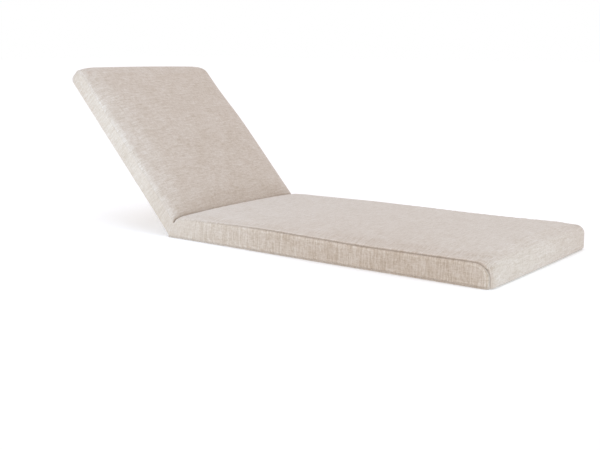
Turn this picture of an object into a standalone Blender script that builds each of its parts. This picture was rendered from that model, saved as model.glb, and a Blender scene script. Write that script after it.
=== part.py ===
"""Sun lounger cushion: a long foam pad folded once, so that its head part slopes up from a flat seat.

Metres, +Z up, +X towards the foot end, +Y to the user's left. The underside of the seat lies on z = 0, and
the origin is below the middle of the whole cushion. Sections are measured from the crease, along the seat
towards the foot and up the slope towards the head.
"""

import math
from collections import namedtuple

import bmesh
import bpy
import numpy as np
from mathutils import Vector

# Driving sizes
WIDTH = 0.720  # over both side panels where they are fullest
SEAT_LENGTH = 1.249  # crease to foot end
BACK_LENGTH = 0.746  # outer corner of the fold to head end
BACK_ANGLE = math.radians(47.5)  # slope of the raised part
FOLD_SETBACK = 0.031  # outer corner of the fold, behind the crease
FOLD_REACH = 0.14  # length over which the foam leans into the fold
OUTER_CORNER_LIFT = 0.002  # the cloth rounds the outer corner this far off the floor

# Cloth
PANEL_THICKNESS = 0.002
PANEL_GAP = 0.0005  # between a side panel and the filled pad
PANEL_HEM = 0.006  # height of the lower side seam above the underside
PANEL_INSET = 0.016  # side seam behind the foot and head ends
PANEL_CORNER = 0.042  # radius of the side seam where it turns down at each end
SIDE_FULLNESS = 0.003  # how far a side swells between its seams
END_FULLNESS = 0.007  # how far an end swells between the sides
HEAD_SKEW = 0.006  # the head end runs this much higher up the slope on the right than in the middle

# reach: how far in from the side seam the foam's round shoulder goes; share: how much of the crown it makes,
# and the rest is a shallow dome over the whole width
Shoulder = namedtuple("Shoulder", "reach share")
SEAT_SHOULDER = Shoulder(reach=0.040, share=0.58)
BACK_SHOULDER = Shoulder(reach=0.080, share=0.83)

# Rounding of the pad's edges
SEAT_LOWER_EDGE = 0.004
BACK_LOWER_EDGE = 0.014
FOOT_PLAN_CORNER = 0.026
HEAD_PLAN_CORNER = 0.012
SIDE_FACE = WIDTH / 2 - PANEL_THICKNESS - PANEL_GAP - SIDE_FULLNESS

EndRadii = namedtuple("EndRadii", "face back")
FOOT_RADII = EndRadii(face=0.033, back=0.015)
HEAD_RADII = EndRadii(face=0.040, back=0.030)

# along: distance from the fold; seam: side seam above the flat back; crown: rise of the middle over the seam;
# waist: how far each side is drawn in there; sway: how far the whole section lies to the left
Section = namedtuple("Section", "along seam crown waist sway")
SEAT_SECTIONS = (
    Section(along=0.000, seam=0.056, crown=0.015, waist=0.005, sway=0.005),
    Section(along=0.012, seam=0.065, crown=0.017, waist=0.005, sway=0.005),
    Section(along=0.035, seam=0.070, crown=0.016, waist=0.005, sway=0.005),
    Section(along=0.090, seam=0.073, crown=0.013, waist=0.005, sway=0.005),
    Section(along=0.180, seam=0.0755, crown=0.009, waist=0.005, sway=0.004),
    Section(along=0.300, seam=0.078, crown=0.007, waist=0.005, sway=0.003),
    Section(along=0.420, seam=0.0785, crown=0.010, waist=0.004, sway=0.002),
    Section(along=0.540, seam=0.077, crown=0.013, waist=0.003, sway=0.001),
    Section(along=0.660, seam=0.075, crown=0.016, waist=0.002, sway=0.000),
    Section(along=0.800, seam=0.0725, crown=0.019, waist=0.002, sway=0.000),
    Section(along=0.940, seam=0.073, crown=0.019, waist=0.002, sway=0.000),
    Section(along=1.080, seam=0.074, crown=0.019, waist=0.001, sway=0.000),
    Section(along=1.170, seam=0.0745, crown=0.019, waist=0.000, sway=0.000),
    Section(along=SEAT_LENGTH, seam=0.0735, crown=0.018, waist=0.000, sway=0.000),
)
BACK_SECTIONS = (
    Section(along=0.000, seam=0.058, crown=0.018, waist=0.005, sway=0.005),
    Section(along=0.012, seam=0.060, crown=0.025, waist=0.006, sway=0.004),
    Section(along=0.035, seam=0.061, crown=0.030, waist=0.008, sway=0.003),
    Section(along=0.080, seam=0.062, crown=0.033, waist=0.010, sway=0.002),
    Section(along=0.160, seam=0.062, crown=0.035, waist=0.010, sway=0.002),
    Section(along=0.300, seam=0.062, crown=0.035, waist=0.009, sway=0.003),
    Section(along=0.450, seam=0.062, crown=0.034, waist=0.009, sway=0.003),
    Section(along=0.580, seam=0.063, crown=0.031, waist=0.014, sway=-0.002),
    Section(along=0.660, seam=0.066, crown=0.025, waist=0.016, sway=-0.004),
    Section(along=BACK_LENGTH, seam=0.070, crown=0.017, waist=0.018, sway=-0.005),
)

# Where the loops of the meshes run
NEAR_FOLD = (0.012, 0.024, 0.042, 0.068, 0.100)
NEAR_END = (0.046, 0.034, 0.024, 0.014, 0.006)
LOOP_SPACING = 0.075
ACROSS = (0.0, 0.30, 0.56, 0.74, 0.85, 0.92, 0.965, 0.99, 1.0)  # shares of the half width
THROUGH = (0.0, 0.06, 0.13, 0.30, 0.50, 0.70, 0.86, 1.0)  # shares of the thickness

COVER_COLOUR = (0.66, 0.60, 0.55, 1.0)
PANEL_COLOUR = (0.68, 0.62, 0.56, 1.0)
CLOTH_ROUGHNESS = 0.95

SLOPE = Vector((-math.cos(BACK_ANGLE), 0.0, math.sin(BACK_ANGLE)))
SLOPE_NORMAL = Vector((math.sin(BACK_ANGLE), 0.0, math.cos(BACK_ANGLE)))
FOLD_CORNER = Vector((-FOLD_SETBACK, 0.0, 0.0))


def clear_scene():
    for thing in list(bpy.data.objects):
        bpy.data.objects.remove(thing, do_unlink=True)


def section_at(sections, along):
    """The section at a distance from the fold, on a smooth curve through the table's rows."""
    places = [row.along for row in sections]
    i = min(max(int(np.searchsorted(places, along)) - 1, 0), len(sections) - 2)
    here, there = np.array(sections[i]), np.array(sections[i + 1])
    before = np.array(sections[max(i - 1, 0)])
    after = np.array(sections[min(i + 2, len(sections) - 1)])
    step = there[0] - here[0]
    share = (along - here[0]) / step
    slope_here = (there - before) / (there[0] - before[0]) * step
    slope_there = (after - here) / (after[0] - here[0]) * step
    square, cube = share**2, share**3
    values = (
        here * (2 * cube - 3 * square + 1)
        + slope_here * (cube - 2 * square + share)
        + there * (3 * square - 2 * cube)
        + slope_there * (cube - square)
    )
    return Section(*values)


def rise_over(across_share, to_side, shoulder):
    """Share of the crown that the face has reached: 0 at a side seam and 1 in the middle."""
    rounding = math.sqrt(1 - max(0.0, 1 - to_side / shoulder.reach) ** 2)
    return shoulder.share * rounding + (1 - shoulder.share) * (1 - across_share**2)


def rounded(first, second, radius):
    """Moves a point of a square corner onto a round one: both values are distances in from its two edges."""
    if first >= radius or second >= radius:
        return first, second
    across, up = radius - first, radius - second
    scale = max(across, up) / math.hypot(across, up)
    return radius - across * scale, radius - up * scale


def side_swell(share_up, to_end):
    """How far a side stands out at a share of its height, fading towards an end."""
    return SIDE_FULLNESS * 4 * share_up * (1 - share_up) * min(1.0, to_end / 0.05)


def folded(along, across, height, share_up):
    """Places a point of the flat pad, along > 0 on the seat and < 0 on the raised part."""
    lean = max(0.0, 1 - abs(along) / FOLD_REACH)
    if along >= 0:
        lift = OUTER_CORNER_LIFT * (1 - share_up) if along == 0 else 0.0
        return Vector((along - FOLD_SETBACK * (1 - share_up) * lean, across, height + lift))
    crease_shift = SEAT_SECTIONS[0].seam * math.sin(BACK_ANGLE) - FOLD_SETBACK * math.cos(BACK_ANGLE)
    climb = -along + crease_shift * share_up * lean
    return FOLD_CORNER + SLOPE * climb + SLOPE_NORMAL * height + Vector((0.0, across, 0.0))


def pad_point(along, across_share, share_up):
    """A point on the filled pad, from its place in a straight box."""
    on_seat = along >= 0
    sections = SEAT_SECTIONS if on_seat else BACK_SECTIONS
    radii = FOOT_RADII if on_seat else HEAD_RADII
    length = SEAT_LENGTH if on_seat else BACK_LENGTH
    section = section_at(sections, abs(along))
    half_width = SIDE_FACE - section.waist
    to_end = length - abs(along)
    to_side = half_width * (1 - abs(across_share))
    rise = rise_over(across_share, to_side, SEAT_SHOULDER if on_seat else BACK_SHOULDER)
    thickness = section.seam + section.crown * rise
    height = thickness * share_up
    skew = 0.0 if on_seat else HEAD_SKEW * across_share
    place = abs(along) * (1 - (END_FULLNESS * (1 - rise) + skew) / length)

    near_face, down = rounded(to_end, thickness - height, radii.face)
    near_back, up = rounded(to_end, height, radii.back)
    corner_end, corner_side = rounded(to_end, to_side, FOOT_PLAN_CORNER if on_seat else HEAD_PLAN_CORNER)
    edge_side, edge_up = rounded(to_side, height, SEAT_LOWER_EDGE if on_seat else BACK_LOWER_EDGE)
    place -= max(near_face, near_back, corner_end) - to_end
    across = half_width - max(corner_side, edge_side)
    if abs(across_share) == 1:
        across += side_swell(share_up, to_end)
    height = max(thickness - down, 0.0) if down > thickness - height else max(up, edge_up)
    across = math.copysign(across, across_share) + section.sway
    return folded(math.copysign(place, along), across, height, share_up)


def corner_turn(on_seat, side, place):
    """How far in the pad's side has turned at a place near its end, seen from above."""
    radius = FOOT_PLAN_CORNER if on_seat else HEAD_PLAN_CORNER
    length = SEAT_LENGTH if on_seat else BACK_LENGTH - HEAD_SKEW * side
    into_corner = max(0.0, radius - (length - END_FULLNESS - place))
    return radius - math.sqrt(radius**2 - into_corner**2)


def panel_point(along, side, share_up):
    """A point on the inner face of a side panel, just off the pad's side."""
    on_seat = along >= 0
    sections = SEAT_SECTIONS if on_seat else BACK_SECTIONS
    length = (SEAT_LENGTH if on_seat else BACK_LENGTH) - PANEL_INSET
    section = section_at(sections, abs(along))
    to_end = length - abs(along)
    height = PANEL_HEM + (section.seam - PANEL_HEM) * share_up
    near_face, down = rounded(to_end, section.seam - height, PANEL_CORNER)
    height = section.seam - down
    place = abs(along) - (near_face - to_end)
    across = SIDE_FACE - section.waist + PANEL_GAP
    if not on_seat:
        near_back, up = rounded(to_end, height - PANEL_HEM, HEAD_RADII.back)
        height = PANEL_HEM + up
        place -= near_back - to_end + HEAD_SKEW * side * abs(along) / BACK_LENGTH
        turned_in, height = rounded(0.0, height, BACK_LOWER_EDGE)
        across -= turned_in
    across -= corner_turn(on_seat, side, place)
    up_share = height / section.seam
    across += side_swell(up_share, to_end + PANEL_INSET)
    return folded(math.copysign(place, along), side * across + section.sway, height, up_share)


def loops_along(inset):
    """Where the edge loops cross the cushion, from the head end to the foot end."""
    seat_end, back_end = SEAT_LENGTH - inset, BACK_LENGTH - inset
    places = [0.0]
    for end, sign in ((seat_end, 1), (back_end, -1)):
        first, last = NEAR_FOLD[-1], end - NEAR_END[0]
        count = round((last - first) / LOOP_SPACING)
        middle = [first + (last - first) * i / count for i in range(1, count)]
        run = [*NEAR_FOLD, *middle, *(end - back for back in NEAR_END), end]
        places += [sign * place for place in run]
    return sorted(places)


def cut_at(mesh, axis, places):
    """Adds an edge loop at each place along one axis."""
    for place in places:
        everything = mesh.verts[:] + mesh.edges[:] + mesh.faces[:]
        point = Vector((0.0, 0.0, 0.0))
        point[axis] = place
        normal = Vector((0.0, 0.0, 0.0))
        normal[axis] = 1.0
        bmesh.ops.bisect_plane(mesh, geom=everything, plane_co=point, plane_no=normal, dist=1e-5)


def nearest(value, places):
    """The place in a list that a vertex was cut at, free of rounding."""
    return min(places, key=lambda place: abs(place - value))


def cloth_material(name, colour):
    material = bpy.data.materials.new(name)
    material.use_nodes = True
    shader = material.node_tree.nodes["Principled BSDF"]
    shader.inputs["Base Color"].default_value = colour
    shader.inputs["Roughness"].default_value = CLOTH_ROUGHNESS
    shader.inputs["Metallic"].default_value = 0.0
    return material


def finished(name, mesh, material, collection):
    """Makes an object of a bmesh, shaded smooth."""
    data = bpy.data.meshes.new(name)
    mesh.to_mesh(data)
    mesh.free()
    data.materials.append(material)
    data.shade_smooth()
    thing = bpy.data.objects.new(name, data)
    collection.objects.link(thing)
    return thing


def make_body(collection):
    """The filled pad: a box cut into sections, then shaped, crowned, rounded and folded."""
    along = loops_along(0.0)
    across = [-share for share in reversed(ACROSS[1:])] + list(ACROSS)
    mesh = bmesh.new()
    bmesh.ops.create_cube(mesh, size=1.0)
    for vert in mesh.verts:
        vert.co = (
            along[-1] if vert.co.x > 0 else along[0],
            1.0 if vert.co.y > 0 else -1.0,
            1.0 if vert.co.z > 0 else 0.0,
        )
    cut_at(mesh, 0, along[1:-1])
    cut_at(mesh, 1, across[1:-1])
    cut_at(mesh, 2, THROUGH[1:-1])
    for vert in mesh.verts:
        vert.co = pad_point(
            nearest(vert.co.x, along), nearest(vert.co.y, across), nearest(vert.co.z, THROUGH)
        )
    return finished("cushion_body", mesh, cloth_material("cover_cloth", COVER_COLOUR), collection)


def make_side_panel(name, side, material, collection):
    """One side panel: a strip cut into sections and shaped to the pad's side, then thickened outwards."""
    along = loops_along(PANEL_INSET)
    mesh = bmesh.new()
    bmesh.ops.create_grid(mesh, x_segments=1, y_segments=1, size=0.5)
    for vert in mesh.verts:
        across = 1.0 if vert.co.y > 0 else 0.0
        vert.co = (along[-1] if vert.co.x > 0 else along[0], across, 0.0)
    cut_at(mesh, 0, along[1:-1])
    cut_at(mesh, 1, THROUGH[1:-1])
    for vert in mesh.verts:
        vert.co = panel_point(nearest(vert.co.x, along), side, nearest(vert.co.y, THROUGH))
    panel = finished(name, mesh, material, collection)
    thicken = panel.modifiers.new("Cloth thickness", "SOLIDIFY")
    thicken.thickness = PANEL_THICKNESS
    thicken.offset = 1.0 if side < 0 else -1.0
    thicken.use_even_offset = True
    return panel


def main():
    clear_scene()
    collection = bpy.data.collections.new("lounger_cushion")
    bpy.context.scene.collection.children.link(collection)
    body = make_body(collection)
    panel_cloth = cloth_material("panel_cloth", PANEL_COLOUR)
    pieces = [
        body,
        make_side_panel("side_panel_right", -1, panel_cloth, collection),
        make_side_panel("side_panel_left", 1, panel_cloth, collection),
    ]
    reach = [vert.co.x for vert in body.data.vertices]
    for piece in pieces:
        piece.location.x = -(min(reach) + max(reach)) / 2


main()
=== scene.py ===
"""The looks of the lounger cushion: woven cover, sewn side panels, soft light and the photograph's camera.

Metres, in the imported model's own frame: +X to the foot end, +Y to the user's left, +Z up.
"""

import math
from collections import namedtuple

import bpy
import numpy as np
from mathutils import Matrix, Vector, noise


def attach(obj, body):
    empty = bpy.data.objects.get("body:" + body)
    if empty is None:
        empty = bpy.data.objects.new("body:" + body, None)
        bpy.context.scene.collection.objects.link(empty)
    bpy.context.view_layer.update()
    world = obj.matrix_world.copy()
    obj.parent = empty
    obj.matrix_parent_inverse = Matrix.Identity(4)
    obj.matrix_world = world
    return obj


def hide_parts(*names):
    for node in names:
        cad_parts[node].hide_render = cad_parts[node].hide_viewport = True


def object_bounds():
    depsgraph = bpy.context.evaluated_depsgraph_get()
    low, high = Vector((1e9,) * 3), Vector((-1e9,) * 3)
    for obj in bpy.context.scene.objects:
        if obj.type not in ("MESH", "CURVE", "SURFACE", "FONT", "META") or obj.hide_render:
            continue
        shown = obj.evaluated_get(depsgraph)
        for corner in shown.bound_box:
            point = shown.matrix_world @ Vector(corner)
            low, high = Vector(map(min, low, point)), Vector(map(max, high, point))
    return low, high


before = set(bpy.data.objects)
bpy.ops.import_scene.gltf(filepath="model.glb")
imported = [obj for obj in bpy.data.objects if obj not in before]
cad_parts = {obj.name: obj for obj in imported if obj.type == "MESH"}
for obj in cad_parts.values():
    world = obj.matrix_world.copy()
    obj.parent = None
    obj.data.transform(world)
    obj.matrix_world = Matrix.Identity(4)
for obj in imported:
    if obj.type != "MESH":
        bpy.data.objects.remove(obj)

CAD_BOX = [list(corner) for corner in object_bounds()]

# The cushion's sizes, as its solids have them
WIDTH = 0.720
SEAT_LENGTH = 1.249
BACK_LENGTH = 0.746
BACK_ANGLE = math.radians(47.5)
FOLD_SETBACK = 0.031
FOLD_REACH = 0.14
OUTER_CORNER_LIFT = 0.002
PANEL_THICKNESS = 0.002
PANEL_GAP = 0.0005
PANEL_HEM = 0.006
PANEL_INSET = 0.016
PANEL_CORNER = 0.042
SIDE_FULLNESS = 0.003
SIDE_FULLNESS_REACH = 0.05  # distance from the ends at which the sides have their whole fullness
END_FULLNESS = 0.007
# How the face rises from the side seams: as a round shoulder near them, and as a shallow dome over the width
Shoulder = namedtuple("Shoulder", "reach share")
SEAT_SHOULDER = Shoulder(reach=0.040, share=0.58)
BACK_SHOULDER = Shoulder(reach=0.080, share=0.83)
HEAD_SKEW = 0.006
SEAT_LOWER_EDGE = 0.004
BACK_LOWER_EDGE = 0.014
FOOT_PLAN_CORNER = 0.026
HEAD_PLAN_CORNER = 0.012
SIDE_FACE = WIDTH / 2 - PANEL_THICKNESS - PANEL_GAP - SIDE_FULLNESS
EndRadii = namedtuple("EndRadii", "face back")
FOOT_RADII = EndRadii(face=0.033, back=0.015)
HEAD_RADII = EndRadii(face=0.040, back=0.030)
CREASE_X = CAD_BOX[1][0] - SEAT_LENGTH

# along: distance from the fold; seam: side seam above the flat back; crown: rise of the middle over the seam;
# waist: how far each side is drawn in there; sway: how far the whole section lies to the left
Section = namedtuple("Section", "along seam crown waist sway")
SEAT_SECTIONS = (
    Section(along=0.000, seam=0.056, crown=0.015, waist=0.005, sway=0.005),
    Section(along=0.012, seam=0.065, crown=0.017, waist=0.005, sway=0.005),
    Section(along=0.035, seam=0.070, crown=0.016, waist=0.005, sway=0.005),
    Section(along=0.090, seam=0.073, crown=0.013, waist=0.005, sway=0.005),
    Section(along=0.180, seam=0.0755, crown=0.009, waist=0.005, sway=0.004),
    Section(along=0.300, seam=0.078, crown=0.007, waist=0.005, sway=0.003),
    Section(along=0.420, seam=0.0785, crown=0.010, waist=0.004, sway=0.002),
    Section(along=0.540, seam=0.077, crown=0.013, waist=0.003, sway=0.001),
    Section(along=0.660, seam=0.075, crown=0.016, waist=0.002, sway=0.000),
    Section(along=0.800, seam=0.0725, crown=0.019, waist=0.002, sway=0.000),
    Section(along=0.940, seam=0.073, crown=0.019, waist=0.002, sway=0.000),
    Section(along=1.080, seam=0.074, crown=0.019, waist=0.001, sway=0.000),
    Section(along=1.170, seam=0.0745, crown=0.019, waist=0.000, sway=0.000),
    Section(along=SEAT_LENGTH, seam=0.0735, crown=0.018, waist=0.000, sway=0.000),
)
BACK_SECTIONS = (
    Section(along=0.000, seam=0.058, crown=0.018, waist=0.005, sway=0.005),
    Section(along=0.012, seam=0.060, crown=0.025, waist=0.006, sway=0.004),
    Section(along=0.035, seam=0.061, crown=0.030, waist=0.008, sway=0.003),
    Section(along=0.080, seam=0.062, crown=0.033, waist=0.010, sway=0.002),
    Section(along=0.160, seam=0.062, crown=0.035, waist=0.010, sway=0.002),
    Section(along=0.300, seam=0.062, crown=0.035, waist=0.009, sway=0.003),
    Section(along=0.450, seam=0.062, crown=0.034, waist=0.009, sway=0.003),
    Section(along=0.580, seam=0.063, crown=0.031, waist=0.014, sway=-0.002),
    Section(along=0.660, seam=0.066, crown=0.025, waist=0.016, sway=-0.004),
    Section(along=BACK_LENGTH, seam=0.070, crown=0.017, waist=0.018, sway=-0.005),
)

# The fold: the raised part's face rolls under and meets the seat along a tight crease
CREASE_DEPTH = 0.018
SEAT_CREASE_REACH = 0.008
BACK_CREASE_REACH = 0.036

# Sewing, which only the looks have, with painted shade in the seams and the crease and a painted highlight on
# the welt
LIP = 0.0026  # the main panel's edge stands this far off the filling, level with the side panel
LIP_WIDTH = 0.0035
BELOW_LIP = 0.5  # share of the lip that the underside's edge has
WELT = 0.0010  # ridge of the turned-in cloth just beyond the seam
WELT_AT = 0.0042
WELT_WIDTH = 0.0030
CURL = 0.0028  # width over which a side panel's edge turns in to the seam
CURL_DEPTH = 0.0024
SEAM_SHADE = 0.45  # how far the cloth's colour goes to the dark seam colour down in the seam: the thread's own colour and painted shade in the groove
SEAM_SHADE_WIDTH = 0.0021
# Dark brown of the seams and the crease: the stitching thread's own colour and painted shade in the seams'
# grooves, painted shade in the crease
THREAD_AND_SHADE_COLOUR = (0.30, 0.235, 0.175, 1.0)
WELT_HIGHLIGHT = 0.24  # painted highlight: how far the welt's colour goes away from the dark seam colour, paler where the ridge catches the light
WELT_HIGHLIGHT_AT = 0.0062
WELT_HIGHLIGHT_WIDTH = 0.0030
LOWER_SHARE = 0.3  # how much of the seam's thread colour and painted shade shows along the lower edge of a side panel
LOWER_FADE = 0.014  # height over which that grows to the whole
CREASE_SHADE = 0.90  # painted shade: how far the cloth's colour goes to the dark seam colour down in the crease
SEAT_CREASE_SHADE_REACH = 0.003
BACK_CREASE_SHADE_REACH = 0.0125
PALE_STREAKS = 0.55  # contrast of the side panels' streaks up the raised part, against 1 along the seat: fainter there as painted light, for the glare of the strong side light
STREAKS_START = -0.05  # where along the cushion, from the fold, that contrast starts to grow
STREAKS_GROW = 0.35
SOFT_SHARE = 0.12  # how much of the seam shows at the fold and up the raised part
SEWING_STARTS = 0.02  # distance from the fold, on the seat, at which the seam starts to show more
SEWING_GROWS = 0.40  # length over which it comes to show wholly
CLOTH = 0.0012  # thickness of the side panels' cloth
PUCKER = 0.0007
PUCKER_LENGTH = 0.045
PUCKER_REACH = 0.020

# The cloth is blown up over the foam by pressure, from a shape with a slightly lower crown
SETTLING_FRAMES = 16
PRESSURE = 4.0
SLACK = 0.006
START_BELOW = 0.0022
MOST_MOVE = 0.006
# Its top is held to these distances from the side seams, the fold and the end seams, and then gets free
HELD_AT_SIDE = 0.006
HELD_AT_FOLD = 0.004
HELD_AT_END = 0.002
FREEING = 0.03
HOLD_STEPS = 20

# Places on the pad: shares of the half width and of the thickness from which a point counts as being there
AT_SIDE = 0.9999
NEAR_SIDE = 0.97
SHOULDER_START = 0.9
ON_TOP = 0.999
TINY = 1e-6
CLEAR_OF_CREASE = 0.01  # the welt's painted highlight shows where the crease's painted shade is less than this

# Mesh density
STEP_ALONG = 0.013
NEAR_FOLD = (0.0008, 0.0018, 0.0035, 0.006, 0.010, 0.015, 0.021, 0.028, 0.036, 0.046, 0.058, 0.071)
NEAR_END = (
    0.060, 0.050, 0.042, 0.036, 0.030, 0.025, 0.0205, 0.017, 0.0145, 0.012, 0.0095, 0.007, 0.0045, 0.002,
)
ACROSS = (
    0.0, 0.04, 0.08, 0.12, 0.16, 0.20, 0.24, 0.28, 0.32, 0.36, 0.40, 0.44, 0.48, 0.52, 0.56, 0.60, 0.64, 0.68,
    0.72, 0.76, 0.80, 0.84, 0.875, 0.905, 0.93, 0.95, 0.965, 0.976, 0.983, 0.988, 0.992, 0.9955, 0.998,
    0.9993, 1.0,
)
THROUGH = (0.0, 0.03, 0.06, 0.09, 0.13, 0.20, 0.28, 0.37, 0.46, 0.55, 0.64, 0.73, 0.81, 0.87, 0.92, 0.96, 1.0)
PANEL_ROWS = (
    0.0, 0.012, 0.025, 0.04, 0.07, 0.12, 0.20, 0.30, 0.40, 0.50, 0.60, 0.70, 0.80, 0.88, 0.93, 0.96, 0.975,
    0.988, 1.0,
)

# The cloth's pattern
FLAT_HEIGHT = 0.09  # heights on the cover's sides and ends, laid out flat
FLAT_PANEL_HEIGHT = 0.075
WEAVE_PITCH = 0.0013
WEAVE_DEPTH = 0.35  # relief of the weave, against 1 from dark yarn to pale
DARK_YARN = (0.475, 0.395, 0.315)
MIDDLE_YARN = (0.590, 0.515, 0.445)
PALE_YARN = (0.690, 0.635, 0.580)

# The photograph's camera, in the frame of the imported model
CAMERA_AT = (CREASE_X + 2.412, -2.8154, 0.689)
CAMERA_YAW = math.radians(36.863)
CAMERA_PITCH = math.radians(10.613)
FOCAL_PIXELS = 976.4
PHOTO_WIDTH = 600


def sections_at(sections, places):
    """The sections at several distances from the fold, on a smooth curve through the table's rows."""
    rows = np.array(sections)
    index = np.clip(np.searchsorted(rows[:, 0], places) - 1, 0, len(rows) - 2)
    here, there = rows[index], rows[index + 1]
    before, after = rows[np.maximum(index - 1, 0)], rows[np.minimum(index + 2, len(rows) - 1)]
    step = (there - here)[:, :1]
    share = (places[:, None] - here[:, :1]) / step
    slope_here = (there - before) / (there - before)[:, :1] * step
    slope_there = (after - here) / (after - here)[:, :1] * step
    square, cube = share**2, share**3
    values = (
        here * (2 * cube - 3 * square + 1)
        + slope_here * (cube - 2 * square + share)
        + there * (3 * square - 2 * cube)
        + slope_there * (cube - square)
    )
    return Section(*values.T)


def stations(along):
    """Whether points are on the seat, along >= 0, and the sections of the seat or the raised part there."""
    on_seat = along >= 0
    seat = sections_at(SEAT_SECTIONS, np.abs(along))
    back = sections_at(BACK_SECTIONS, np.abs(along))
    section = Section(*(np.where(on_seat, s, b) for s, b in zip(seat, back)))
    return on_seat, section


def rounded(first, second, radius):
    """Moves points of a square corner onto a round one: both values are distances in from its two edges."""
    across, up = radius - first, radius - second
    inside = (across > 0) & (up > 0)
    scale = np.maximum(across, up) / np.maximum(np.hypot(across, up), 1e-9)
    return np.where(inside, radius - across * scale, first), np.where(inside, radius - up * scale, second)


def rise_over(beside, to_side, on_seat):
    """Share of the crown that the face has reached: 0 at the side seams and 1 in the middle."""
    reach = np.where(on_seat, SEAT_SHOULDER.reach, BACK_SHOULDER.reach)
    part = np.where(on_seat, SEAT_SHOULDER.share, BACK_SHOULDER.share)
    shoulder = np.sqrt(1 - np.clip(1 - to_side / reach, 0, 1) ** 2)
    return part * shoulder + (1 - part) * (1 - beside**2)


def side_swell(share_up, to_end):
    return SIDE_FULLNESS * 4 * share_up * (1 - share_up) * np.clip(to_end / SIDE_FULLNESS_REACH, 0, 1)


def ease(value):
    value = np.clip(value, 0, 1)
    return value * value * (3 - 2 * value)


def folded(along, across, height, share_up):
    """Places points of the flat pad in the folded one, and returns an array of x, y, z."""
    lean = np.clip(1 - np.abs(along) / FOLD_REACH, 0, None)
    lift = OUTER_CORNER_LIFT * (1 - share_up) * (np.abs(along) < TINY)
    seat_x = along - FOLD_SETBACK * (1 - share_up) * lean
    crease_shift = SEAT_SECTIONS[0].seam * math.sin(BACK_ANGLE) - FOLD_SETBACK * math.cos(BACK_ANGLE)
    climb = -along + crease_shift * share_up * lean
    back_x = -FOLD_SETBACK - climb * math.cos(BACK_ANGLE) + height * math.sin(BACK_ANGLE)
    back_z = climb * math.sin(BACK_ANGLE) + height * math.cos(BACK_ANGLE)
    on_seat = along >= 0
    x = np.where(on_seat, seat_x, back_x) + CREASE_X
    z = np.where(on_seat, height + lift, back_z)
    return np.stack([x, across, z], axis=1)


def waves(places, length, seed):
    """Smooth uneven waves from -1 to 1 along a line, the same each run."""
    return np.array([noise.noise(Vector((place / length, seed, 0.37 * seed))) for place in places])


def in_from_outline(to_end, from_top, from_bottom, on_seat):
    """How far a point of the side lies inside a side panel's outline, negative outside it."""
    inset = to_end - PANEL_INSET
    across, up = PANEL_CORNER - inset, PANEL_CORNER - from_top
    at_corner = (across > 0) & (up > 0)
    distance = np.where(at_corner, PANEL_CORNER - np.hypot(across, up), np.minimum(inset, from_top))
    lower = HEAD_RADII.back
    across, down = lower - inset, lower - from_bottom
    at_lower = (across > 0) & (down > 0) & ~on_seat
    from_lower_edge = np.where(at_lower, lower - np.hypot(across, down), from_bottom)
    return np.minimum(distance, from_lower_edge)


def seam_strength(along):
    """How much of the sewing shows: all of it along the seat, less near the fold and up the raised part."""
    return SOFT_SHARE + (1 - SOFT_SHARE) * ease((along - SEWING_STARTS) / SEWING_GROWS)


def seam_shade_and_highlight(away, along, height):
    """Share of the dark seam colour at a distance from the seam, the thread's colour and painted shade: high
    in the groove, below zero on the welt's painted highlight.
    """
    dark = SEAM_SHADE * np.exp(-((away / SEAM_SHADE_WIDTH) ** 2))
    # Painted highlight on the welt's ridge
    highlight = WELT_HIGHLIGHT * np.exp(-(((away - WELT_HIGHLIGHT_AT) / WELT_HIGHLIGHT_WIDTH) ** 2))
    lower = LOWER_SHARE + (1 - LOWER_SHARE) * ease((height - PANEL_HEM) / LOWER_FADE)
    return (dark - highlight) * seam_strength(along) * lower


def crease_dip(along, rise):
    """How far the faces drop towards the crease."""
    reach = np.where(along >= 0, SEAT_CREASE_REACH, BACK_CREASE_REACH)
    nearness = np.clip(1 - np.abs(along) / reach, 0, 1)
    return CREASE_DEPTH * (1 - np.sqrt(1 - nearness**2)) * np.sqrt(rise)


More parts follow.
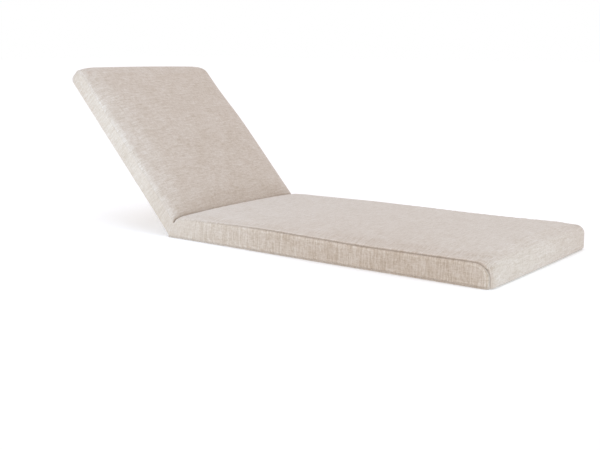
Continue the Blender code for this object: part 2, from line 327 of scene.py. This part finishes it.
def pad_points(along, share, up):
    """Points on the filled cover, and their painted shade: thread colour and shade in the seam grooves, shade
    in the crease, a highlight on the welt.

    Along runs from the fold, share across from -1 to 1, and up from 0 to 1.
    """
    on_seat, section = stations(along)
    length = np.where(on_seat, SEAT_LENGTH, BACK_LENGTH)
    face_radius = np.where(on_seat, FOOT_RADII.face, HEAD_RADII.face)
    back_radius = np.where(on_seat, FOOT_RADII.back, HEAD_RADII.back)
    beside = np.abs(share)
    half_width = SIDE_FACE - section.waist
    to_end = length - np.abs(along)
    to_side = half_width * (1 - beside)
    rise = rise_over(beside, to_side, on_seat)
    thickness = section.seam + section.crown * rise
    height = thickness * up

    near_face, down = rounded(to_end, thickness - height, face_radius)
    near_back, lifted = rounded(to_end, height, back_radius)
    plan_corner = np.where(on_seat, FOOT_PLAN_CORNER, HEAD_PLAN_CORNER)
    corner_end, corner_side = rounded(to_end, to_side, plan_corner)
    edge_side, edge_up = rounded(to_side, height, np.where(on_seat, SEAT_LOWER_EDGE, BACK_LOWER_EDGE))
    skew = np.where(on_seat, 0, HEAD_SKEW * share)
    place = np.abs(along) * (1 - (END_FULLNESS * (1 - rise) + skew) / length)
    place -= np.maximum.reduce([near_face, near_back, corner_end]) - to_end
    across = half_width - np.maximum(corner_side, edge_side)
    lowered = np.maximum(thickness - down, 0)
    new_height = np.where(down > thickness - height, lowered, np.maximum(lifted, edge_up))

    at_side = beside > AT_SIDE
    on_top = up > ON_TOP
    new_height = new_height - np.where(on_top, crease_dip(along, rise), 0)
    outline = in_from_outline(length - place, section.seam - new_height, new_height - PANEL_HEM, on_seat)
    away = np.hypot(np.maximum(-outline, 0), to_side)
    welt = WELT * np.exp(-(((away - WELT_AT) / WELT_WIDTH) ** 2))
    new_height = new_height + np.where(on_top & ~at_side, welt, 0)
    filled = 1 - seam_strength(along)
    across = across + np.where(at_side, side_swell(up, to_end), 0)
    lip = LIP * np.maximum(ease(away / LIP_WIDTH), filled * on_top)
    across = across + np.where(at_side | (on_top & (beside > SHOULDER_START)), lip, 0)
    across = across + np.where((up < ON_TOP) & (beside > NEAR_SIDE) & ~at_side, LIP * BELOW_LIP, 0)
    across = np.copysign(across, share) + section.sway
    points = folded(np.copysign(place, along), across, new_height, up)
    at_crease = on_top & (np.abs(along) < TINY)
    points[at_crease, 0] -= crease_dip(along, rise)[at_crease] * math.tan(BACK_ANGLE / 2)

    # Painted shade and highlight: the thread colour and shade in the seam grooves, the highlight on the welt
    shade = np.where(at_side | on_top, seam_shade_and_highlight(away, along, new_height), 0)
    # Painted shade down in the crease, reaching further up the raised part's face
    reach = np.where(along > 0, SEAT_CREASE_SHADE_REACH, BACK_CREASE_SHADE_REACH)
    painted_crease_shade = CREASE_SHADE * np.exp(-((along / reach) ** 2)) * on_top * np.sqrt(rise)
    # The welt's painted highlight, left out down in the crease
    welt_highlight = np.minimum(shade, 0) * (painted_crease_shade < CLEAR_OF_CREASE)
    return points, np.maximum(shade, painted_crease_shade) + welt_highlight


def corner_turn(on_seat, side, place):
    """How far in the pad's side has turned at places near its end, seen from above."""
    radius = np.where(on_seat, FOOT_PLAN_CORNER, HEAD_PLAN_CORNER)
    length = np.where(on_seat, SEAT_LENGTH, BACK_LENGTH - HEAD_SKEW * side)
    into_corner = np.clip(radius - (length - END_FULLNESS - place), 0, None)
    return radius - np.sqrt(radius**2 - into_corner**2)


def panel_points(along, side, up):
    """Points on the outer face of a side panel, its edges turned in to the seam, and their painted shade:
    thread colour and shade at the seams, a highlight beside them.
    """
    on_seat, section = stations(along)
    length = np.where(on_seat, SEAT_LENGTH, BACK_LENGTH) - PANEL_INSET
    to_end = length - np.abs(along)
    height = PANEL_HEM + (section.seam - PANEL_HEM) * up
    near_face, down = rounded(to_end, section.seam - height, PANEL_CORNER)
    height = section.seam - down
    place = np.abs(along) * (1 - np.where(on_seat, 0, HEAD_SKEW * side) / BACK_LENGTH) - (near_face - to_end)
    near_back, lifted = rounded(to_end, height - PANEL_HEM, np.where(on_seat, 0.0, HEAD_RADII.back))
    height = PANEL_HEM + lifted
    place = place - (near_back - to_end)
    turned_in, height = rounded(np.zeros_like(height), height, np.where(on_seat, 0.0, BACK_LOWER_EDGE))
    up_share = height / section.seam
    to_outline = in_from_outline(
        length + PANEL_INSET - place, section.seam - height, height - PANEL_HEM, on_seat
    )
    wave = waves(along, PUCKER_LENGTH, 3.0 + side)
    pucker = PUCKER * wave * np.exp(-np.maximum(to_outline, 0) / PUCKER_REACH)
    across = SIDE_FACE - section.waist + side_swell(up_share, to_end + PANEL_INSET)
    across = across + PANEL_GAP + PANEL_THICKNESS
    curl = CURL_DEPTH * seam_strength(along) * (1 - ease(to_outline / CURL)) ** 1.5
    across = across - turned_in - corner_turn(on_seat, side, place) - curl + pucker
    points = folded(np.copysign(place, along), side * across + section.sway, height, up_share)
    return points, seam_shade_and_highlight(np.maximum(to_outline, 0), along, height)


def loops_along(inset):
    """Where the loops cross the cushion, from the head end to the foot end."""
    places = [0.0]
    for end, sign in ((SEAT_LENGTH - inset, 1), (BACK_LENGTH - inset, -1)):
        first, last = NEAR_FOLD[-1], end - NEAR_END[0]
        count = round((last - first) / STEP_ALONG)
        middle = [first + (last - first) * i / count for i in range(1, count)]
        run = [*NEAR_FOLD, *middle, *(end - back for back in NEAR_END), end]
        places += [sign * place for place in run]
    return np.array(sorted(places))


def box_surface(counts):
    """Grid places and quads of the surface of a box of nx by ny by nz grid points, facing out."""
    nx, ny, nz = counts
    numbers, places, quads = {}, [], []

    def number(*place):
        if place not in numbers:
            numbers[place] = len(places)
            places.append(place)
        return numbers[place]

    for i in range(nx - 1):
        for j in range(ny - 1):
            for k, turn in ((0, -1), (nz - 1, 1)):
                quad = [number(i, j, k), number(i + 1, j, k), number(i + 1, j + 1, k), number(i, j + 1, k)]
                quads.append(quad[::turn])
    for i in range(nx - 1):
        for k in range(nz - 1):
            for j, turn in ((0, 1), (ny - 1, -1)):
                quad = [number(i, j, k), number(i + 1, j, k), number(i + 1, j, k + 1), number(i, j, k + 1)]
                quads.append(quad[::turn])
    for j in range(ny - 1):
        for k in range(nz - 1):
            for i, turn in ((0, -1), (nx - 1, 1)):
                quad = [number(i, j, k), number(i, j + 1, k), number(i, j + 1, k + 1), number(i, j, k + 1)]
                quads.append(quad[::turn])
    return np.array(places), quads


def mesh_object(name, points, quads, cloth_places, shade, streaks):
    """A smooth mesh with a map named cloth, in metres on the flat cloth, and two values at each point: its
    painted shade and its streaks' contrast.
    """
    data = bpy.data.meshes.new(name)
    data.from_pydata(points.tolist(), [], quads)
    layer = data.uv_layers.new(name="cloth")
    corners = np.empty(len(data.loops), dtype=np.int32)
    data.loops.foreach_get("vertex_index", corners)
    layer.data.foreach_set("uv", cloth_places(corners).astype(np.float32).ravel())
    for title, values in (("shade", shade), ("streaks", streaks)):
        data.attributes.new(title, "FLOAT", "POINT").data.foreach_set("value", values.astype(np.float32))
    data.shade_smooth()
    thing = bpy.data.objects.new(name, data)
    bpy.context.scene.collection.objects.link(thing)
    return thing


def settle(cover, free):
    """Lets the cover's free parts swell over the foam by a cloth simulation, and keeps the result."""
    data = cover.data
    start = np.empty(len(data.vertices) * 3)
    data.vertices.foreach_get("co", start)
    start = start.reshape(-1, 3)
    normals = np.empty(len(data.vertices) * 3)
    data.vertices.foreach_get("normal", normals)
    lowered = start - normals.reshape(-1, 3) * free[:, None] * START_BELOW
    data.vertices.foreach_set("co", lowered.ravel())
    held = cover.vertex_groups.new(name="held")
    steps = np.round((1 - free) * HOLD_STEPS) / HOLD_STEPS
    for weight in np.unique(steps):
        held.add(np.flatnonzero(steps == weight).tolist(), float(weight), "REPLACE")
    cloth = cover.modifiers.new("Settling", "CLOTH")
    rules = cloth.settings
    rules.quality = 4
    rules.mass = 0.3
    rules.tension_stiffness = rules.compression_stiffness = 20.0
    rules.shear_stiffness = 8.0
    rules.bending_stiffness = 0.6
    rules.shrink_min = -SLACK
    rules.use_pressure = True
    rules.uniform_pressure_force = PRESSURE
    rules.vertex_group_mass = held.name
    rules.effector_weights.gravity = 0.0
    cloth.collision_settings.use_collision = False
    cloth.point_cache.frame_start, cloth.point_cache.frame_end = 1, SETTLING_FRAMES
    scene = bpy.context.scene
    for frame_number in range(1, SETTLING_FRAMES + 1):
        scene.frame_set(frame_number)
    settled = cover.evaluated_get(bpy.context.evaluated_depsgraph_get()).to_mesh()
    points = np.empty(len(data.vertices) * 3)
    settled.vertices.foreach_get("co", points)
    move = points.reshape(-1, 3) - lowered
    length = np.linalg.norm(move, axis=1, keepdims=True)
    move *= np.minimum(1, MOST_MOVE / np.maximum(length, 1e-9))
    cover.modifiers.remove(cloth)
    cover.vertex_groups.remove(held)
    data.vertices.foreach_set("co", (lowered + move).ravel())
    data.update()
    scene.frame_set(1)


def make_cover():
    """The filled cover: foam and the main panel that wraps it."""
    along = loops_along(0.0)
    across = np.array([-share for share in reversed(ACROSS[1:])] + list(ACROSS))
    through = np.array(THROUGH)
    places, quads = box_surface((len(along), len(across), len(through)))
    points, shade = pad_points(along[places[:, 0]], across[places[:, 1]], through[places[:, 2]])
    flat_along = along[places[:, 0]]
    flat_across = across[places[:, 1]] * WIDTH / 2
    flat_up = through[places[:, 2]] * FLAT_HEIGHT

    def cloth_places(corners):
        """Top and underside by length and width, ends by height and width, sides by length and height."""
        lengths, widths, ups = (array[corners].reshape(-1, 4) for array in (flat_along, flat_across, flat_up))
        at_end = np.ptp(lengths, axis=1) < TINY
        at_side = (np.ptp(widths, axis=1) < TINY) & ~at_end
        u = np.where(at_end[:, None], ups + lengths, lengths)
        v = np.where(at_side[:, None], ups + widths, widths)
        return np.stack([u.ravel(), v.ravel()], axis=1)

    cover = mesh_object("woven_cover", points, quads, cloth_places, shade, np.ones(len(points)))
    to_side = (1 - np.abs(across[places[:, 1]])) * SIDE_FACE
    faces_up = places[:, 2] == len(through) - 1
    free = ease((to_side - HELD_AT_SIDE) / FREEING) * faces_up
    free *= ease((np.abs(flat_along) - HELD_AT_FOLD) / FREEING)
    lengths = np.where(flat_along > 0, SEAT_LENGTH, BACK_LENGTH)
    free *= ease((lengths - np.abs(flat_along) - HELD_AT_END) / FREEING)
    settle(cover, free)
    return cover


def make_side_panel(name, side):
    """One side panel: a thin sheet with its edges turned in to the seam."""
    along = loops_along(PANEL_INSET)
    rows = np.array(PANEL_ROWS)
    grid_along, grid_up = (grid.ravel() for grid in np.meshgrid(along, rows, indexing="ij"))
    points, shade = panel_points(grid_along, side, grid_up)
    n = len(rows)
    quads = []
    for i in range(len(along) - 1):
        for k in range(n - 1):
            quad = [i * n + k, (i + 1) * n + k, (i + 1) * n + k + 1, i * n + k + 1]
            quads.append(quad if side < 0 else quad[::-1])

    def cloth_places(corners):
        return np.stack([grid_along[corners], grid_up[corners] * FLAT_PANEL_HEIGHT], axis=1)

    # Streaks fainter up the raised part: painted light, for the glare of the side light there
    streaks = PALE_STREAKS + (1 - PALE_STREAKS) * ease((grid_along - STREAKS_START) / STREAKS_GROW)
    panel = mesh_object(name, points, quads, cloth_places, shade, streaks)
    thicken = panel.modifiers.new("Cloth thickness", "SOLIDIFY")
    thicken.thickness = CLOTH
    thicken.offset = -1.0
    return panel


def node_tools(material):
    tree = material.node_tree

    def add(kind, **values):
        node = tree.nodes.new(kind)
        for key, value in values.items():
            setattr(node, key, value)
        return node

    def link(source, target):
        tree.links.new(source, target)

    def math_node(operation, first, second=None, clamp=False):
        node = add("ShaderNodeMath", operation=operation, use_clamp=clamp)
        for socket, value in zip(node.inputs, (first, second)):
            if isinstance(value, (int, float)):
                socket.default_value = value
            elif value is not None:
                link(value, socket)
        return node.outputs[0]

    return add, link, math_node


def woven_material(name, contrast, run, painted_light_tint):
    """Off-white and beige melange: a plain weave whose uneven thick threads make streaks of a length, run."""
    material = bpy.data.materials.new(name)
    material.use_nodes = True
    add, link, math_node = node_tools(material)
    tree = material.node_tree
    shader = tree.nodes["Principled BSDF"]
    cloth = add("ShaderNodeUVMap", uv_map="cloth")
    split = add("ShaderNodeSeparateXYZ")
    link(cloth.outputs["UV"], split.inputs[0])
    fine, coarse = split.outputs[0], split.outputs[1]

    def yarns(across_yarns, along_yarns, breadth, run, detail, seed):
        """A shade for each yarn, as broad as breadth, that changes along it over a length of about run."""
        number = math_node("FLOOR", math_node("MULTIPLY", across_yarns, 1 / breadth))
        joined = add("ShaderNodeCombineXYZ")
        link(math_node("MULTIPLY", number, 5.37), joined.inputs[0])
        link(math_node("MULTIPLY", along_yarns, 1 / run), joined.inputs[1])
        joined.inputs[2].default_value = seed
        texture = add("ShaderNodeTexNoise", noise_dimensions="3D")
        texture.inputs["Scale"].default_value = 1.0
        texture.inputs["Detail"].default_value = detail
        texture.inputs["Roughness"].default_value = 0.55
        link(joined.outputs[0], texture.inputs["Vector"])
        return math_node("SUBTRACT", texture.outputs["Fac"], 0.5)

    def blotches(size, seed):
        """A shade in large soft patches."""
        joined = add("ShaderNodeCombineXYZ")
        link(math_node("MULTIPLY", fine, 1 / size), joined.inputs[0])
        link(math_node("MULTIPLY", coarse, 1 / size), joined.inputs[1])
        joined.inputs[2].default_value = seed
        texture = add("ShaderNodeTexNoise", noise_dimensions="3D")
        texture.inputs["Scale"].default_value = 1.0
        texture.inputs["Detail"].default_value = 3.0
        link(joined.outputs[0], texture.inputs["Vector"])
        return math_node("SUBTRACT", texture.outputs["Fac"], 0.5)

    thick_yarns = yarns(fine, coarse, breadth=0.0034, run=run, detail=2.0, seed=1.7)
    blend = math_node("MULTIPLY", thick_yarns, contrast * 1.05)
    for shade, weight in (
        (yarns(fine, coarse, breadth=0.0013, run=0.011, detail=1.0, seed=5.1), 0.9),
        (yarns(coarse, fine, breadth=0.0026, run=0.024, detail=1.0, seed=9.3), 0.5),
        (yarns(coarse, fine, breadth=0.0013, run=0.009, detail=1.0, seed=2.3), 0.6),
        (blotches(size=0.09, seed=3.9), 0.35),
    ):
        blend = math_node("ADD", blend, math_node("MULTIPLY", shade, contrast * weight))
    streaks = add("ShaderNodeAttribute", attribute_name="streaks")
    blend = math_node("MULTIPLY", blend, streaks.outputs["Fac"])
    blend = math_node("ADD", blend, 0.5, clamp=True)

    # The tint is painted light: it warms the colours of cloth that stands in warmer light
    def tinted(colour):
        return (*(part * share for part, share in zip(colour, painted_light_tint)), 1.0)

    ramp = add("ShaderNodeValToRGB")
    link(blend, ramp.inputs["Fac"])
    ramp.color_ramp.elements[0].position = 0.05
    ramp.color_ramp.elements[0].color = tinted(DARK_YARN)
    ramp.color_ramp.elements[1].position = 0.95
    ramp.color_ramp.elements[1].color = tinted(PALE_YARN)
    middle = ramp.color_ramp.elements.new(0.5)
    middle.color = tinted(MIDDLE_YARN)
    # Painted shade and highlight, from the mesh: the colour goes towards the dark seam colour in the seams
    # and the crease, away from it on the welt
    shade = add("ShaderNodeAttribute", attribute_name="shade")
    shaded = add("ShaderNodeMix", data_type="RGBA", clamp_factor=False)
    link(shade.outputs["Fac"], shaded.inputs["Factor"])
    link(ramp.outputs["Color"], shaded.inputs["A"])
    shaded.inputs["B"].default_value = THREAD_AND_SHADE_COLOUR
    link(shaded.outputs["Result"], shader.inputs["Base Color"])

    warp = math_node("SINE", math_node("MULTIPLY", fine, math.pi / WEAVE_PITCH))
    weft = math_node("SINE", math_node("MULTIPLY", coarse, math.pi / WEAVE_PITCH))
    weave = math_node("MULTIPLY", warp, weft)
    height = math_node("ADD", math_node("MULTIPLY", weave, WEAVE_DEPTH), math_node("MULTIPLY", blend, 1.0))
    bump = add("ShaderNodeBump")
    bump.inputs["Strength"].default_value = 0.35
    bump.inputs["Distance"].default_value = 0.0006
    link(height, bump.inputs["Height"])
    link(bump.outputs["Normal"], shader.inputs["Normal"])
    shader.inputs["Roughness"].default_value = 0.92
    shader.inputs["Sheen Weight"].default_value = 0.5
    shader.inputs["Sheen Roughness"].default_value = 0.4
    shader.inputs["Specular IOR Level"].default_value = 0.25
    return material


def plain_material(name, colour, emission):
    material = bpy.data.materials.new(name)
    material.use_nodes = True
    shader = material.node_tree.nodes["Principled BSDF"]
    shader.inputs["Base Color"].default_value = (*colour, 1.0)
    shader.inputs["Roughness"].default_value = 0.9
    shader.inputs["Specular IOR Level"].default_value = 0.0
    shader.inputs["Emission Color"].default_value = (*colour, 1.0)
    shader.inputs["Emission Strength"].default_value = emission
    return material


FLOOR_SIZE = 60.0
FLOOR_COLOUR = (0.88, 0.88, 0.88)
FLOOR_GLOW = 0.22


def make_floor():
    bpy.ops.mesh.primitive_plane_add(size=FLOOR_SIZE, location=(0.0, 0.0, 0.0))
    floor = bpy.context.object
    floor.name = "floor"
    floor.data.materials.append(plain_material("pale_floor", FLOOR_COLOUR, FLOOR_GLOW))


# Soft studio light: strengths are of red, green and blue, angles are in degrees
WORLD_STRENGTH = (0.765, 0.690, 0.636)
OVERHEAD_STRENGTH = (0.67, 0.83, 1.07)
OVERHEAD_BREADTH = 60
OVERHEAD_TILT = (-6, 5)
Lamp = namedtuple("Lamp", "name at looks_at size strength")
LAMPS = (
    Lamp("beside_back", (-0.62, -1.20, 0.58), (-0.62, -0.30, 0.28), 0.7, (1.66, 2.33, 2.99)),
    Lamp("beyond_foot", (1.62, -0.40, 0.34), (0.88, -0.08, 0.05), 0.6, (0.76, 1.10, 1.33)),
)
LAMP_SPREAD = 120


def split_strength(strength):
    """Power and colour of a lamp from its strength of red, green and blue."""
    power = max(strength)
    return power, [part / power for part in strength]


def add_lamp(lamp):
    data = bpy.data.lights.new(lamp.name, "AREA")
    data.shape = "DISK"
    data.size = lamp.size
    data.spread = math.radians(LAMP_SPREAD)
    data.energy, data.color = split_strength(lamp.strength)
    light = bpy.data.objects.new(lamp.name, data)
    light.location = lamp.at
    light.rotation_euler = (Vector(lamp.looks_at) - Vector(lamp.at)).to_track_quat("-Z", "Y").to_euler()
    bpy.context.scene.collection.objects.link(light)


def make_lights():
    sun = bpy.data.lights.new("overhead", "SUN")
    sun.energy, sun.color = split_strength(OVERHEAD_STRENGTH)
    sun.angle = math.radians(OVERHEAD_BREADTH)
    overhead = bpy.data.objects.new("overhead", sun)
    overhead.rotation_euler = (*(math.radians(angle) for angle in OVERHEAD_TILT), 0.0)
    bpy.context.scene.collection.objects.link(overhead)
    for lamp in LAMPS:
        add_lamp(lamp)
    world = bpy.context.scene.world or bpy.data.worlds.new("studio")
    bpy.context.scene.world = world
    world.use_nodes = True
    tree = world.node_tree
    tree.nodes.clear()
    soft = tree.nodes.new("ShaderNodeBackground")
    soft.inputs["Strength"].default_value, colour = split_strength(WORLD_STRENGTH)
    soft.inputs["Color"].default_value = (*colour, 1.0)
    white = tree.nodes.new("ShaderNodeBackground")
    white.inputs["Color"].default_value = (1.0, 1.0, 1.0, 1.0)
    white.inputs["Strength"].default_value = 1.0
    path = tree.nodes.new("ShaderNodeLightPath")
    mix = tree.nodes.new("ShaderNodeMixShader")
    out = tree.nodes.new("ShaderNodeOutputWorld")
    tree.links.new(path.outputs["Is Camera Ray"], mix.inputs[0])
    tree.links.new(soft.outputs[0], mix.inputs[1])
    tree.links.new(white.outputs[0], mix.inputs[2])
    tree.links.new(mix.outputs[0], out.inputs["Surface"])


def make_camera():
    data = bpy.data.cameras.new("camera")
    data.sensor_fit = "HORIZONTAL"
    data.sensor_width = 36.0
    data.lens = FOCAL_PIXELS / PHOTO_WIDTH * data.sensor_width
    data.clip_end = 100.0
    camera = bpy.data.objects.new("camera", data)
    camera.location = CAMERA_AT
    camera.rotation_euler = (math.pi / 2 - CAMERA_PITCH, 0.0, CAMERA_YAW)
    bpy.context.scene.collection.objects.link(camera)
    bpy.context.scene.camera = camera


def main():
    make_camera()
    cover = make_cover()
    cover.data.materials.append(woven_material("woven_cover_cloth", 1.0, 0.034, (1.0, 1.0, 1.0)))
    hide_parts("cushion_body")
    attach(cover, "root")
    # The panel cloth's warmer tint is painted light: it stands in for the warmer light on the sides against
    # the cooler light on the top
    panel_cloth = woven_material("woven_panel_cloth", 1.5, 0.060, (0.995, 0.985, 0.965))
    for side, word in ((-1, "right"), (1, "left")):
        panel = make_side_panel(f"sewn_panel_{word}", side)
        panel.data.materials.append(panel_cloth)
        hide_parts(f"side_panel_{word}")
        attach(panel, "root")
    make_floor()
    make_lights()
    bpy.context.scene.view_settings.view_transform = "Standard"


main()
